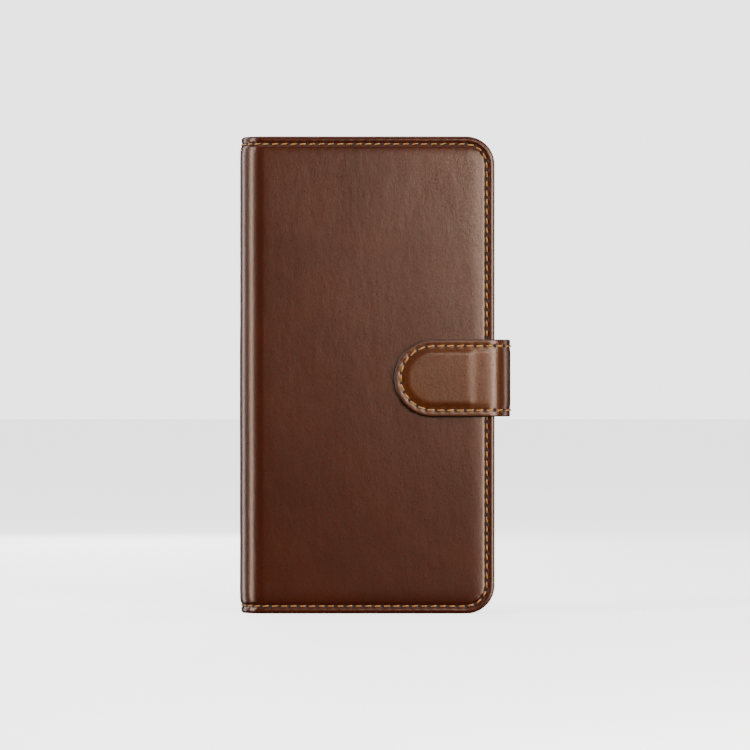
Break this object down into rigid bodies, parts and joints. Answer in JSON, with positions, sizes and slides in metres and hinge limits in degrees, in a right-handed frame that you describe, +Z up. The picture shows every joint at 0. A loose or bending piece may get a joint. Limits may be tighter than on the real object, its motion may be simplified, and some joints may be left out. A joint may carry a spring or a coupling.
{
  "type": "phone wallet case",
  "caption": "Folding leather phone wallet case with a moulded phone shell, card pockets and a magnetic closing strap; opens like a book.",
  "frame": {"origin": "middle of the foot of the closed case's bounding box, in the plane it stands on", "axes": "+X from the spine to the strap side, +Y out of the back cover, +Z up along the long side; the front cover faces -Y"},
  "size_m": [0.0888, 0.0234, 0.156],
  "materials": {
    "brown_leather": "smooth waxed, satin",
    "dark_leather_backing": "matt",
    "gold_lining": "soft nap",
    "tan_thread": "twisted polyester",
    "grey_board": "pressed fibre board",
    "black_shell": "matt soft moulding",
    "black_foam": "matt foam",
    "nickel_plate": "plated magnet"
  },
  "bodies": {
    "back_cover": {"back_leather": "brown_leather", "back_edge_thread": "tan_thread", "back_board_camera_side": "grey_board", "back_board_spine_side": "grey_board", "back_lining": "gold_lining", "mounting_pad": "black_foam", "phone_shell": "black_shell", "strap_tongue": "brown_leather"},
    "spine": {"spine_leather": "brown_leather", "spine_lining": "gold_lining", "spine_thread_bottom": "tan_thread", "spine_thread_top": "tan_thread"},
    "front_cover": {"front_leather": "brown_leather", "front_edge_thread": "tan_thread", "front_board": "grey_board", "cover_magnet": "nickel_plate", "front_lining_tongue": "gold_lining", "card_panel": "brown_leather", "card_pocket_rear": "brown_leather", "card_pocket_middle": "brown_leather", "card_pocket_front": "brown_leather"},
    "strap_band": {"strap_outer_leather": "brown_leather", "strap_inner_leather": "dark_leather_backing"},
    "strap_tab": {"tab_outer_leather": "brown_leather", "tab_inner_leather": "dark_leather_backing", "tab_magnet": "nickel_plate", "tab_thread": "tan_thread"},
    "power_button": {"power_button": "black_shell"},
    "volume_up_button": {"volume_up_button": "black_shell"},
    "volume_down_button": {"volume_down_button": "black_shell"}
  },
  "joints": [
    {"name": "spine_hinge", "type": "hinge", "parent": "back_cover", "child": "spine", "pos_m": [-0.04194, 0.00884, 0.078], "axis": [0, 0, -1], "range_deg": [0, 180]},
    {"name": "cover_hinge", "type": "hinge", "parent": "spine", "child": "front_cover", "pos_m": [-0.04194, -0.00664, 0.078], "axis": [0, 0, -1], "range_deg": [0, 180]},
    {"name": "strap_root", "type": "hinge", "parent": "back_cover", "child": "strap_band", "pos_m": [0.0396, 0.00985, 0.077], "axis": [0, 0, 1], "range_deg": [0, 100], "deforming": ["strap_outer_leather", "strap_inner_leather"]},
    {"name": "strap_bend", "type": "hinge", "parent": "strap_band", "child": "strap_tab", "pos_m": [0.0396, -0.01055, 0.077], "axis": [0, 0, 1], "range_deg": [0, 90], "deforming": ["tab_outer_leather", "tab_inner_leather", "tab_magnet", "tab_thread"]},
    {"name": "power_button_press", "type": "slide", "parent": "back_cover", "child": "power_button", "axis": [-1, 0, 0], "range_m": [0, 0.0004], "stiffness_N_per_m": 500},
    {"name": "volume_up_press", "type": "slide", "parent": "back_cover", "child": "volume_up_button", "axis": [1, 0, 0], "range_m": [0, 0.0004], "stiffness_N_per_m": 500},
    {"name": "volume_down_press", "type": "slide", "parent": "back_cover", "child": "volume_down_button", "axis": [1, 0, 0], "range_m": [0, 0.0004], "stiffness_N_per_m": 500}
  ]
}
